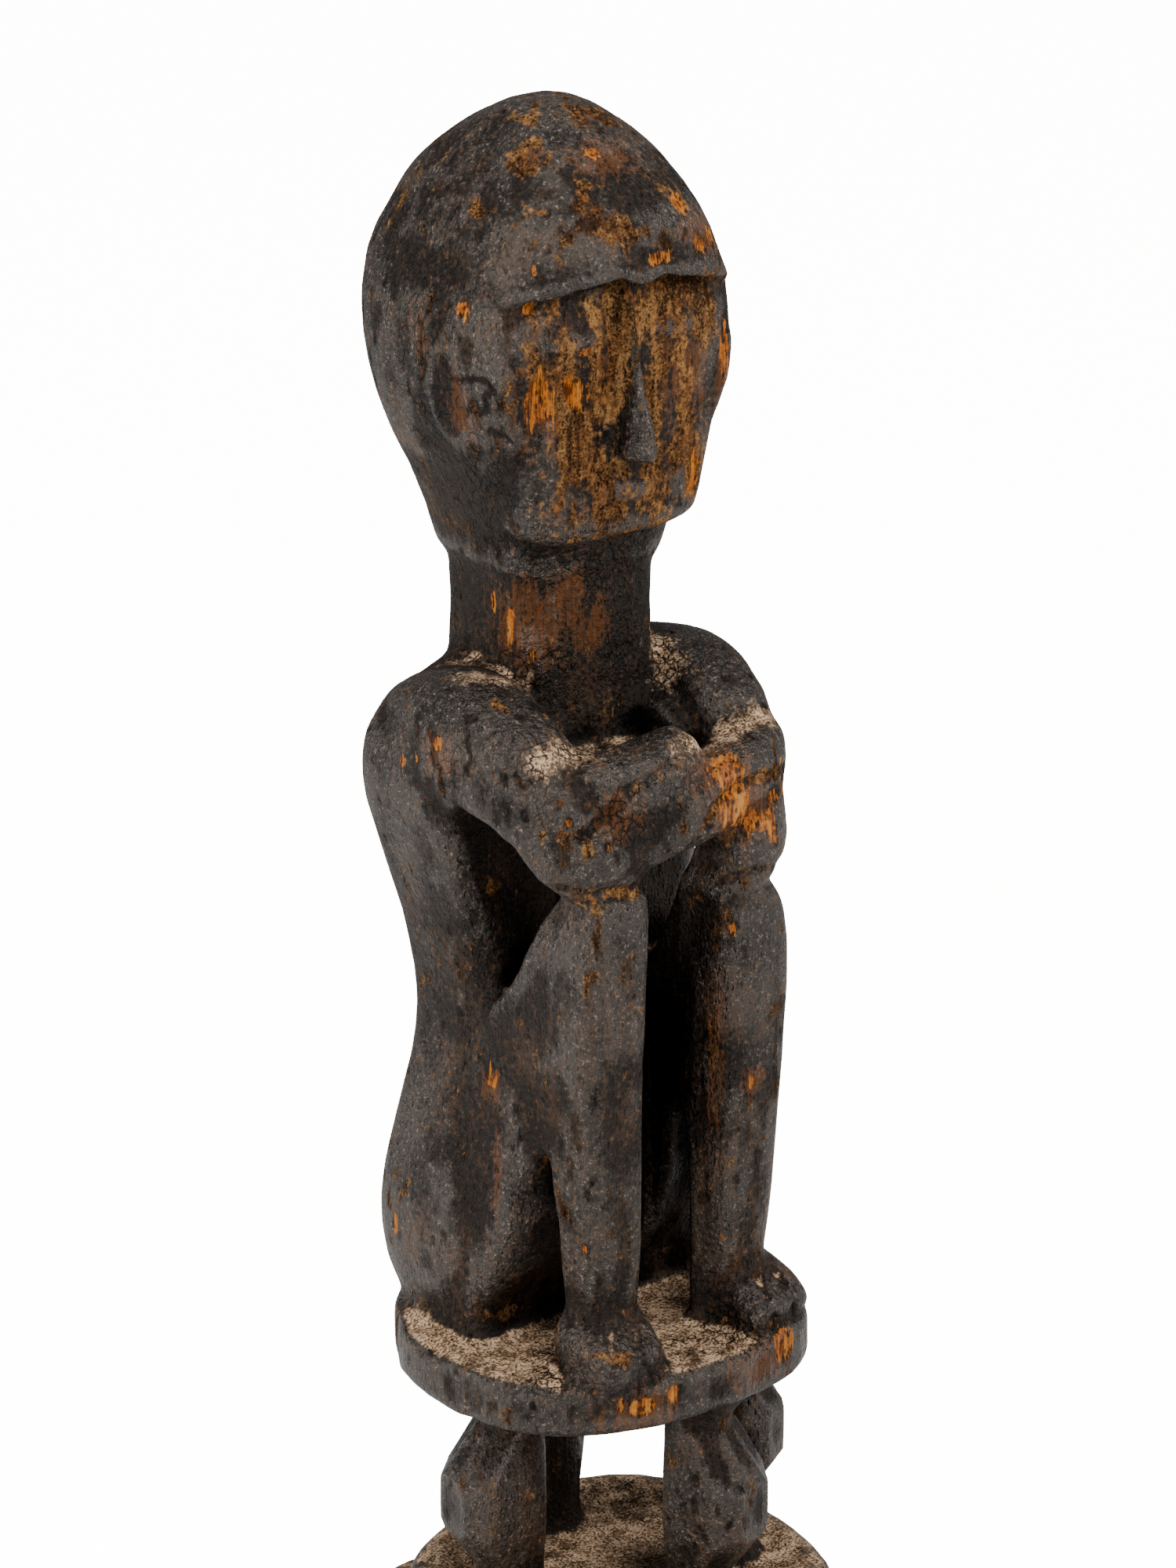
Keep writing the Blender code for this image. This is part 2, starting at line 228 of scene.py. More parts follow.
def nearLine(points, line, reach):
    # the points within reach of a line, and how far each is from it
    ends = np.array(line, float)
    close = np.all((points > ends.min(0) - reach) & (points < ends.max(0) + reach), axis=1).nonzero()[0]
    spots = points[close]
    best = np.full(len(close), 1e9)
    for start, end in zip(ends, ends[1:]):
        along = end - start
        share = np.clip(((spots - start) @ along) / (along @ along), 0, 1)
        best = np.minimum(best, np.linalg.norm(spots - start - share[:, None] * along, axis=1))
    return close, best


def pressLine(points, normals, line, width, depth):
    # a groove along a line, or a ridge where depth is negative
    close, away = nearLine(points, line, width * 3)
    points[close] -= normals[close] * (depth * np.exp(-(away / width) ** 2))[:, None]


def swellSpot(points, normals, centre, radii, height):
    away = (((points - np.array(centre, float)) / np.array(radii, float)) ** 2).sum(1)
    points += normals * (height * np.exp(-away))[:, None]


def carveFace(points, normals):
    pressLine(points, normals, browLine, carving["browLipWidth"], -carving["browLip"])
    pressLine(points, normals, creaseLine, carving["browCreaseWidth"], carving["browCrease"])
    for side in (-1, 1):
        swellSpot(points, normals, (side * 20, -13, 469), (8, 6, 4), carving["lid"])
        lid = [(side * 11, -13, 467.5), (side * 16, -14, 466), (side * 22, -14, 465.8),
               (side * 28, -13, 467)]
        pressLine(points, normals, lid, 0.9, carving["lidSlit"])
        outer = (side * points[:, 0] > 34).nonzero()[0]
        ring = np.hypot((points[outer, 1] - 13) / 8.5, (points[outer, 2] - 453) / 15)
        relief = np.exp(-((ring - 1) / 0.24) ** 2) - 0.7 * np.exp(-(ring / 0.55) ** 2)
        points[outer] += normals[outer] * (carving["ear"] * relief)[:, None]
    pressLine(points, normals, [(-9, -13, 421), (0, -15, 421.5), (9, -13, 421)], 0.9, carving["mouthSlit"])


def carveLimbs(points, normals):
    for line in creases.values():
        pressLine(points, normals, line, 2.0, carving["armCrease"])
    for line in toeLines:
        pressLine(points, normals, line, 1.5, carving["toe"])
    swellSpot(points, normals, (12, -30, 303), (7, 7, 8), carving["elbowFill"])


# The flats of a strut's bulge: turn and tilt of each in degrees, and how far from the bulge's middle in mm
strutFlats = [(0, 0, 14.0), (44, 0, 15.4), (-44, 0, 15.4), (0, 34, 16.8), (0, -34, 17.4),
              (36, 32, 17.2), (-36, 32, 17.2), (36, -32, 17.6), (-36, -32, 17.6)]
seatFlats = (-170, -126, -78, -28, 15, 60, 105, 150)       # directions of the flats on the plates' rims
discFlats = (-152, -112, -66, -18, 28, 72, 118, 164)
rims = ((122, 147, seatFlats), (20, 51.5, discFlats))      # mm above the floor, from and to, and the flats


def heading(turn, tilt):
    return np.array((cos(radians(turn)) * cos(radians(tilt)), sin(radians(turn)) * cos(radians(tilt)),
                     sin(radians(tilt))))


def carveStruts(points):
    # each strut's bulge is cut to small flats that meet in soft edges
    lowest, widest = carving["strutFoot"]
    narrowing, highest = carving["strutHead"]
    level = eased(points[:, 2], lowest, widest) * eased(-points[:, 2], -highest, -narrowing)
    for angle, height in zip(carving["strutAngles"], carving["strutMiddles"]):
        out, across = heading(angle, 0), heading(angle + 90, 0)
        middle = out * carving["strutOut"] + (0, -carving["forward"], height)
        inside = (points - middle) @ out > -carving["strutInside"]
        beside = abs((points - middle) @ across) < carving["strutBeside"]
        own = ((level > 0) & inside & beside).nonzero()[0]
        for turn, tilt, far in strutFlats:
            normal = heading(angle + turn, tilt)
            over = np.clip((points[own] - middle) @ normal - far, 0, None)
            points[own] -= (over * level[own])[:, None] * normal


def cutRims(points):
    # the plates' rims are cut in flats, and the disc's top is hollowed
    outer = np.hypot(points[:, 0], points[:, 1]) > carving["rimInside"]
    for low, high, flats in rims:
        own = ((points[:, 2] > low) & (points[:, 2] < high) & outer).nonzero()[0]
        for turn in flats:
            normal = heading(turn, 0)
            reach = points[own] @ normal
            over = np.clip(reach - (reach.max() - carving["rimFlat"]), 0, None)
            points[own] -= (over * carving["rimShare"])[:, None] * normal
    away = np.hypot(points[:, 0], points[:, 1] + 12)
    top = eased(points[:, 2], 46, 49) * eased(-points[:, 2], -53, -51)
    raised = carving["dishRim"] * np.exp(-((away - 60) / 5) ** 2)
    sunk = carving["dish"] * eased(-away, -56, -20)
    points[:, 2] += top * (raised - sunk)


def carveSplits(points, normals):
    for line in splits.values():
        pressLine(points, normals, line, 0.7, 0.6)


# Places where the solid's edges have been knocked off: x, y, z, radius, depth in mm
chips = [(-62, 26, 146, 9, 2.6), (-57, 38, 146, 7, 2.0), (60, 20, 146, 6, 1.2), (8, 66, 145, 8, 1.5),
         (-40, -46, 145, 5, 1.0), (-61, -30, 49, 8, 1.4), (52, -38, 50, 6, 1.2), (20, 57, 50, 9, 1.6),
         (-70, 50, 21, 10, 1.8), (74, 10, 21, 8, 1.2), (12, -14, 487, 4, 0.8)]
gouges = {                                       # curved knife marks on the plates' tops
    "seed": 5, "disc": 26, "seat": 9,
    "width": 2.4, "depth": 0.8,                  # mm
}
nicks = {                                        # small losses along the plates' rims
    "seed": 8, "count": 34,
    "radius": 4.0, "depth": 1.3,                 # mm
    "edges": ((63, 126), (66, 50), (63, 145), (66, 50)),    # mm from the axis and above the floor, in turn
}


softRounds = 70                                  # rounds of averaging on a worn edge
# Edges worn round: x, y, z, radius, half height in mm
softSpots = [(-48, -3, 155, 11, 14), (-46, -9, 174, 10, 18), (-41, -16, 194, 7, 14),
             (49, -3, 155, 10, 14), (46, -9, 174, 9, 18)]


def softenEdges(points, edges):
    worn = averaged(points, edges, softRounds)
    share = np.zeros(len(points))
    for x, y, z, wide, high in softSpots:
        beside = ((points[:, 0] - x) ** 2 + (points[:, 1] - y) ** 2) / wide ** 2
        away = beside + ((points[:, 2] - z) / high) ** 2
        share = np.maximum(share, np.exp(-away))
    points += (worn - points) * np.clip(share * 1.3, 0, 1)[:, None]


def knockEdges(points, normals):
    for x, y, z, radius, depth in chips:
        swellSpot(points, normals, (x, y, z), (radius * 0.7, radius * 0.7, radius * 0.6), -depth)
    chance = np.random.default_rng(nicks["seed"])
    for k in range(nicks["count"]):
        turn, radius = chance.uniform(0, 360), nicks["radius"] * chance.uniform(0.4, 1.3)
        reach, height = nicks["edges"][k % 4]
        place = heading(turn, 0) * reach + (0, -carving["forward"], height)
        depth = nicks["depth"] * chance.uniform(0.4, 1)
        swellSpot(points, normals, place, (radius, radius, radius * 0.7), -depth)


def gougePlates(points, normals):
    chance = np.random.default_rng(gouges["seed"])
    for count, height, ring in ((gouges["disc"], 50, 54), (gouges["seat"], 145, 56)):
        for _ in range(count):
            turn, spread = chance.uniform(0, 2 * pi), chance.uniform(0.25, 0.7)
            reach = chance.uniform(0.35, 1) * ring
            line = [(reach * cos(turn + spread * k / 5), reach * sin(turn + spread * k / 5) - 6, height)
                    for k in range(6)]
            pressLine(points, normals, line, gouges["width"], gouges["depth"] * chance.uniform(0.5, 1.2))


def carve(piece):
    points, normals = meshPoints(piece.data), meshNormals(piece.data)
    softenEdges(points, meshEdges(piece.data))
    carveFace(points, normals)
    carveLimbs(points, normals)
    carveStruts(points)
    cutRims(points)
    knockEdges(points, normals)
    gougePlates(points, normals)
    carveSplits(points, normals)
    setPoints(piece.data, points)


# Relief all over: knife scoops, swell, raised grain and pits, cut by a node tree that follows the surface
relief = {
    "swellSize": 30.0, "swellDepth": 0.45,      # mm, slow unevenness of hand work
    "scoopSize": 13.0, "scoopDepth": 0.50,      # mm, knife scoops with soft ridges between
    "grainSize": 2.6, "grainDepth": 0.30,       # mm, raised grain that runs up the block
    "pitSize": 3.6, "pitDepth": 0.42,           # mm, worm-like pits and broken crust
    "flakeDepth": 0.35,                         # mm, crust that is missing where wood is bare
}
grainStretch = 0.1                              # how much longer than wide the grain is, as its share


def reliefTree():
    tree = bpy.data.node_groups.new("woodRelief", "GeometryNodeTree")
    tree.interface.new_socket("Geometry", in_out="INPUT", socket_type="NodeSocketGeometry")
    for name in relief:
        tree.interface.new_socket(name, in_out="INPUT", socket_type="NodeSocketFloat")
    tree.interface.new_socket("wood", in_out="INPUT", socket_type="NodeSocketMaterial")
    tree.interface.new_socket("Geometry", in_out="OUTPUT", socket_type="NodeSocketGeometry")
    given = tree.nodes.new("NodeGroupInput").outputs

    def maths(operation, *values):
        sockets = {k: value for k, value in enumerate(values)}
        return addNode(tree, "ShaderNodeMath", {"operation": operation}, sockets).outputs[0]

    place = addNode(tree, "GeometryNodeInputPosition").outputs[0]
    inMm = addNode(tree, "ShaderNodeVectorMath", {"operation": "SCALE"},
                   {0: place, "Scale": 1000}).outputs[0]
    upright = addNode(tree, "ShaderNodeVectorMath", {"operation": "MULTIPLY"},
                      {0: inMm, 1: (1, 1, grainStretch)}).outputs[0]
    slanted = addNode(tree, "ShaderNodeVectorMath", {"operation": "MULTIPLY"},
                      {0: inMm, 1: (1, 1, 0.45)}).outputs[0]

    def wave(where, size, detail):
        grid = addNode(tree, "ShaderNodeTexNoise", {"noise_dimensions": "3D"},
                       {"Vector": where, "Scale": maths("DIVIDE", 1.0, size), "Detail": detail})
        return maths("SUBTRACT", grid.outputs[0], 0.5)

    swell = maths("MULTIPLY", wave(inMm, given["swellSize"], 2.0), given["swellDepth"])
    grain = maths("MULTIPLY", wave(upright, given["grainSize"], 3.0), given["grainDepth"])
    scoops = addNode(tree, "ShaderNodeTexVoronoi", {"feature": "SMOOTH_F1"},
                     {"Vector": slanted, "Scale": maths("DIVIDE", 1.0, given["scoopSize"]),
                      "Smoothness": 0.25})
    scoop = maths("MULTIPLY", maths("SUBTRACT", scoops.outputs["Distance"], 0.7), given["scoopDepth"])
    pits = addNode(tree, "ShaderNodeTexVoronoi", None,
                   {"Vector": slanted, "Scale": maths("DIVIDE", 1.0, given["pitSize"])})
    hole = addNode(tree, "ShaderNodeMapRange", {"interpolation_type": "SMOOTHSTEP"},
                   {"Value": pits.outputs["Distance"], "From Min": 0.30, "From Max": 0.12}).outputs[0]
    chosen = addNode(tree, "ShaderNodeSeparateXYZ", None, {0: pits.outputs["Color"]}).outputs[0]
    pit = maths("MULTIPLY", maths("MULTIPLY", hole, maths("GREATER_THAN", chosen, 0.55)), given["pitDepth"])
    bare = addNode(tree, "GeometryNodeInputNamedAttribute", {"data_type": "FLOAT"}, {"Name": "bare"})
    ragged = maths("ADD", bare.outputs[0], maths("MULTIPLY", wave(upright, 2.0, 3.0), 0.9))
    flake = addNode(tree, "ShaderNodeMapRange", {"interpolation_type": "SMOOTHSTEP"},
                    {"Value": ragged, "From Min": 0.45, "From Max": 0.56}).outputs[0]
    lost = maths("ADD", pit, maths("MULTIPLY", flake, given["flakeDepth"]))
    height = maths("SUBTRACT", maths("ADD", maths("ADD", swell, grain), scoop), lost)
    level = addNode(tree, "ShaderNodeSeparateXYZ", None, {0: inMm}).outputs[2]
    offGround = addNode(tree, "ShaderNodeMapRange", None, {"Value": level, "From Min": 0.4, "From Max": 3.0})
    height = maths("MULTIPLY", maths("MULTIPLY", height, offGround.outputs[0]), mm)
    outward = addNode(tree, "GeometryNodeInputNormal").outputs[0]
    push = addNode(tree, "ShaderNodeVectorMath", {"operation": "SCALE"}, {0: outward, "Scale": height})
    moved = addNode(tree, "GeometryNodeSetPosition", None,
                    {"Geometry": given["Geometry"], "Offset": push.outputs[0]})
    real = addNode(tree, "GeometryNodeRealizeInstances", None, {0: moved.outputs[0]})
    faced = addNode(tree, "GeometryNodeSetMaterial", None,
                    {"Geometry": real.outputs[0], "Material": given["wood"]})
    addNode(tree, "NodeGroupOutput", None, {0: faced.outputs[0]})
    return tree


def cutRelief(piece, wood):
    tree = reliefTree()
    cut = piece.modifiers.new("relief", "NODES")
    cut.node_group = tree
    for item in tree.interface.items_tree:
        if item.in_out == "INPUT" and item.name in relief:
            cut[item.identifier] = relief[item.name]
        elif item.name == "wood":
            cut[item.identifier] = wood
    swapMesh(piece, evaluatedMesh(piece))


def thinOut(piece):
    # fewer triangles where the surface is flat
    count = sum(len(face.vertices) - 2 for face in piece.data.polygons)
    thin = piece.modifiers.new("thin", "DECIMATE")
    thin.ratio = min(1.0, skin["triangles"] / count)
    thin.use_collapse_triangulate = True
    swapMesh(piece, evaluatedMesh(piece))


def keepInside(piece):
    # nothing reaches past the solid's own box
    low, high = np.array(cadBox) * 1000
    setPoints(piece.data, np.clip(meshPoints(piece.data), low, high))


# Finish: where the crust has flaked, where ochre dust holds, and how hemmed in by wood each place is, which
# the material paints as shade.
# Each row of a list is x, y, z, half width and half height in mm.
bareSpots = [
    (14, -46, 337, 6.2, 5.7), (16, -47, 324, 5.6, 7.6), (23, -47, 319, 5.0, 4.0), (30, -45, 315, 3.4, 7.5),
    (33, -45, 324, 2.9, 2.4), (40, -42, 325, 1.6, 4.6), (38, -41, 334, 1.2, 2.0), (32, -57, 141, 4.5, 6.0),
    (-26, 11, 377, 1.7, 6.0), (-27, 19, 383, 1.2, 3.0), (-24, 4, 368, 1.3, 3.6), (-17, -1, 384, 1.1, 3.0),
    (1, -60, 95, 1.4, 5.8), (-3, -57, 104, 3.0, 2.0), (-15, -58, 138, 2.4, 3.0), (17, -45, 284, 1.6, 2.8),
    (-19, -13, 454, 5.0, 4.6), (40, -11, 455, 1.8, 10), (19, -14, 507, 2.8, 4.2), (31, -14, 496, 2.0, 3.4),
    (-28, -39, 338, 1.5, 3.7), (-43, -40, 331, 1.2, 1.2), (-33, -46, 323, 1.0, 2.0),
    (-59, 6, 347, 2.2, 2.2), (-58, 25, 336, 1.5, 1.7), (-59, 17, 339, 1.0, 1.5), (-33, -12, 453, 4.6, 9.0),
    (-22, -13, 456, 2.7, 4.9), (-16, -13, 467, 3.2, 1.5), (27, -12, 422, 2.2, 7.3),
    (41, -10, 463, 1.4, 8.5), (-45, -2, 236, 3.2, 3.2), (-48, 8, 206, 1.0, 1.2), (-37, -40, 188, 1.2, 1.7),
    (-47, 6, 481, 2.9, 2.9), (-34, -9, 483, 2.0, 2.9), (-34, -12, 495, 1.0, 2.2), (24, -18, 495, 3.4, 2.9),
    (6, -21, 494, 3.7, 2.0), (-5, -2, 524, 2.2, 2.2), (26, -45, 230, 1.5, 2.2), (-26, -55, 136, 4.5, 2.6),
    (-33, -53, 138, 1.6, 2.2), (-55, 36, 174, 1.5, 3.7), (48, 22, 250, 3.0, 5.0), (52, 30, 190, 2.2, 4.5),
    (20, 76, 455, 3.5, 6.0), (-30, 58, 330, 2.5, 4.0), (14, 56, 205, 3.0, 5.5)]
ochreSpots = [
    (-25, -12, 477, 8.5, 7.8), (-12, -12, 478, 6.8, 6.8), (-7, -13, 453, 4.9, 13.4),
    (-5, -16, 436, 4.4, 9.8), (-24, -12, 419, 7.8, 4.4), (11, -13, 420, 7.6, 3.2), (14, -12, 414, 8.5, 2.0),
    (23, -13, 434, 3.4, 5.4), (10, -13, 473, 2.2, 7.3), (31, -12, 471, 4.9, 8.5), (-12, -12, 512, 4.4, 6.1),
    (-9, -19, 504, 7.3, 4.1), (17, -13, 509, 4.9, 5.4), (-22, 7, 524, 6.8, 5.4), (6, 9, 532, 8.1, 2.7),
    (-15, 18, 532, 5.6, 2.2), (-37, 13, 509, 2.4, 1.7), (-27, -6, 510, 2.9, 1.0), (-45, -37, 337, 2.2, 1.5),
    (-46, -37, 328, 3.9, 2.4), (-39, -44, 323, 2.0, 3.2), (-9, -46, 330, 3.4, 2.7),
    (-14, -39, 344, 2.7, 1.2), (-30, -43, 305, 11.0, 3.2), (24, -43, 299, 4.4, 2.4),
    (-47, -11, 361, 2.4, 2.2), (-33, -16, 357, 1.7, 1.5), (-38, -21, 212, 1.7, 6.8),
    (-42, -32, 226, 3.9, 2.2), (-41, -2, 152, 5.9, 2.4), (-38, 6, 296, 2.9, 5.4), (14, -38, 246, 1.7, 7.3),
    (-34, -54, 154, 6.1, 2.9)]
stainSpots = [               # red-brown wood that shows through thin crust
    (-24, 6, 378, 12, 17), (-14, -2, 386, 8, 12), (-6, -3, 376, 9, 8), (-31, -12, 452, 10, 14),
    (23, -12, 455, 9, 14), (40, -11, 448, 4, 22), (20, -46, 323, 14, 12), (12, -45, 338, 12, 9),
    (-27, -46, 330, 12, 8), (20, -57, 138, 14, 9), (-24, -56, 135, 16, 8), (26, -45, 230, 5, 6),
    (-46, -2, 234, 6, 6), (-58, 4, 344, 10, 7), (-45, 26, 470, 5, 14), (-47, 8, 448, 8, 12),
    (-38, 0, 404, 8, 9), (26, -16, 498, 12, 7), (-2, -2, 522, 12, 6), (-46, -8, 200, 3, 16),
    (14, -40, 240, 3, 40), (22, 60, 330, 14, 26), (-20, 62, 220, 14, 30), (48, 20, 460, 8, 18)]
crackSpots = [               # crust that has crazed into small plates
    (-49, 24, 464, 13, 30), (-44, 2, 430, 10, 16), (-26, -2, 402, 22, 9), (2, -3, 398, 20, 8),
    (-30, 0, 362, 16, 7), (34, 0, 356, 16, 14), (-50, -22, 342, 16, 14), (-20, -44, 330, 18, 10),
    (-40, -46, 146, 26, 8), (30, -54, 148, 20, 8), (0, 80, 470, 26, 24), (0, 60, 350, 34, 20),
    (40, 30, 250, 14, 30), (-58, 0, 350, 12, 16)]
sheenSpots = [               # crust polished by hands: glossier, and painted lighter grey as sheen
    (-16, -16, 499, 9, 7), (-40, -4, 494, 8, 6), (0, -27, 440, 4, 30), (-12, -46, 338, 16, 7),
    (4, -44, 345, 18, 6), (-58, 30, 320, 10, 44), (-50, 34, 200, 12, 60), (-34, -42, 280, 9, 26),
    (-60, -8, 88, 14, 18), (-62, 20, 136, 10, 12), (30, -44, 270, 10, 30), (-35, -52, 152, 12, 8),
    (56, 20, 320, 12, 40), (-20, 4, 530, 16, 8)]
wearAndShade = {
    "faceOchre": 0.60,        # how much of the sunk face keeps its ochre
    "rays": 12, "rayReach": 45,     # directions felt from each point, and how far in mm
    "seed": 11,
}


def spotField(points, spots):
    # 1 in the middle of a patch, a half at its rim, nothing beyond
    field = np.zeros(len(points))
    for x, y, z, wide, high in spots:
        away = np.sqrt(((points[:, 0] - x) ** 2 + (points[:, 1] - y) ** 2) / wide ** 2
                       + ((points[:, 2] - z) / high) ** 2)
        field = np.maximum(field, 1.1 - 0.6 * away)
    return np.clip(field, 0, 1)


def lineField(points, lines, width):
    # 1 on the lines, fading out over the given width in mm
    field = np.zeros(len(points))
    for line in lines:
        close, away = nearLine(points, line, width * 2)
        field[close] = np.maximum(field[close], np.exp(-(away / width) ** 2))
    return field


def coverField(mesh, points, normals):
    # the share of directions from each point that meet wood close by
    tree = BVHTree.FromPolygons([v.co for v in mesh.vertices], [p.vertices for p in mesh.polygons])
    chance = np.random.default_rng(wearAndShade["seed"])
    rays = chance.normal(size=(wearAndShade["rays"] * 2, 3))
    rays /= np.linalg.norm(rays, axis=1)[:, None]
    covered = np.zeros(len(points))
    starts = (points + normals * 0.6) * mm
    for k in range(len(points)):
        start, outward = Vector(starts[k]), normals[k]
        facing = rays @ outward
        met = felt = 0.0
        for ray, lift in zip(rays, facing):
            if lift < 0.1:
                continue
            felt += lift
            if tree.ray_cast(start, Vector(ray), wearAndShade["rayReach"] * mm)[0] is not None:
                met += lift
        covered[k] = met / max(felt, 1e-6)
    return covered


def saveField(mesh, name, values):
    if name in mesh.attributes:
        mesh.attributes.remove(mesh.attributes[name])
    kept = mesh.attributes.new(name, "FLOAT", "POINT")
    kept.data.foreach_set("value", np.clip(values, 0, 1).astype(np.float32))


def markPatches(piece):
    points = meshPoints(piece.data)
    saveField(piece.data, "bare", spotField(points, bareSpots))


def markFinish(piece):
    mesh = piece.data
    points, normals, edges = meshPoints(mesh), meshNormals(mesh), meshEdges(mesh)
    bend = ((averaged(points, edges, 10) - points) * normals).sum(1)       # mm, above 0 in a hollow
    bend = averaged(bend, edges, 2)[:, 0]
    covered = averaged(coverField(mesh, points, normals), edges, 3)[:, 0]
    smoothUp = averaged(normals, edges, 4)[:, 2]
    x, y, z = points.T
    face = eased(-y, 6, 9) * eased(z, 404, 408) * eased(-z, -488, -484) * eased(-np.abs(x), -45, -42)
    ridge = eased(-y, 14.5, 18) * eased(-np.abs(x), -5.5, -2.5) * eased(z, 428, 434) * eased(-z, -486, -478)
    chin = eased(-y, 10, 13) * eased(-z, -416, -408)
    face *= (1 - ridge) * (1 - 0.8 * chin) * (1 - 0.55 * eased(np.abs(x + 2), 30, 40))
    ochre = np.maximum(spotField(points, ochreSpots) * 0.85, face * wearAndShade["faceOchre"])
    hollow = eased(bend, 0.10, 0.50)
    creased = hollow * eased(-covered, -0.8, -0.3)
    plates = eased(smoothUp, 0.6, 0.95) * eased(-z, -156, -150)
    ledges = eased(smoothUp, 0.35, 0.85) * eased(bend, -0.05, 0.22) * eased(-z, -372, -366)
    dust = np.maximum(plates * (0.66 + 0.4 * eased(covered, 0.1, 0.45)), ledges * 0.6)
    dust = np.maximum(dust, lineField(points, dustLines.values(), 7.0) * 0.72)
    ochre = np.maximum(ochre, lineField(points, creases.values(), 3.0) * 0.55)
    saveField(mesh, "bare", spotField(points, bareSpots))
    saveField(mesh, "ochre", np.maximum(ochre, creased * 0.45))
    saveField(mesh, "dust", dust)
    # painted shade: places hemmed in by wood close by (gaps between limbs, slits, recesses) are painted
    # towards black, upward faces less
    saveField(mesh, "paintedShade", eased(covered, 0.34, 0.80) * (1 - 0.65 * eased(smoothUp, 0.3, 0.8)))
    # real polish and painted sheen: convex edges and polished spots are made glossier and are also painted
    # lighter grey
    saveField(mesh, "rubbedAndSheen", np.maximum(eased(-bend, 0.04, 0.28), spotField(points, sheenSpots) * 0.9))
    saveField(mesh, "stain", spotField(points, stainSpots))
    saveField(mesh, "crazed", spotField(points, crackSpots))
    saveField(mesh, "split", lineField(points, splits.values(), 0.7))


# Old tropical hardwood carved by knife and adze, blackened by smoke, oil and handling: a thin dry
# crust with a soft sheen, ochre earth held in its low places, and warm streaked wood where the crust
# has flaked off.
wood = {
    # the light grey of the crust's specks is partly grey bloom and partly painted sheen
    "crustDark": "#060403", "crust": "#211a16", "crustWarm": "#352213", "bloomAndSheenGrey": "#7d746b",
    "ochreDark": "#2c1a0d", "ochre": "#7c4e29", "ochrePale": "#a07547",
    "dustDark": "#6a5239", "dustPale": "#d0ae8e",
    "bareDark": "#45200c", "bare": "#a65d1e", "bareLight": "#c08038", "stain": "#58300f",
    # the near-black used for pits, crazing and splits also paints shade into the recesses
    "shadeAndPitBlack": "#040303", "sheen": "#fff0e2",
    "poreWidth": 0.9,         # mm, vessel lines in the grain, drawn a little coarser than real
    "crackleCell": 4.2,       # mm, the plates that the crust crazes into
    "gritSize": 0.8,          # mm, grains of the crust and of the dust
    "lumpSize": 1.9,          # mm, blisters and pits of the crust
    "blisterSize": 2.6,       # mm, raised blisters of the crust
    "pitCell": 1.5,           # mm, pinholes
    "fleckSize": 3.2,         # mm, small flakes lost all over
    "speckSize": 1.3,         # mm, the smallest of them
    "streakSize": 2.4,        # mm, bands in the grain
    "mottleSize": 6.5, "patchSize": 13, "crazedSize": 11, "cloudSize": 26,     # mm, slow changes of tone
}


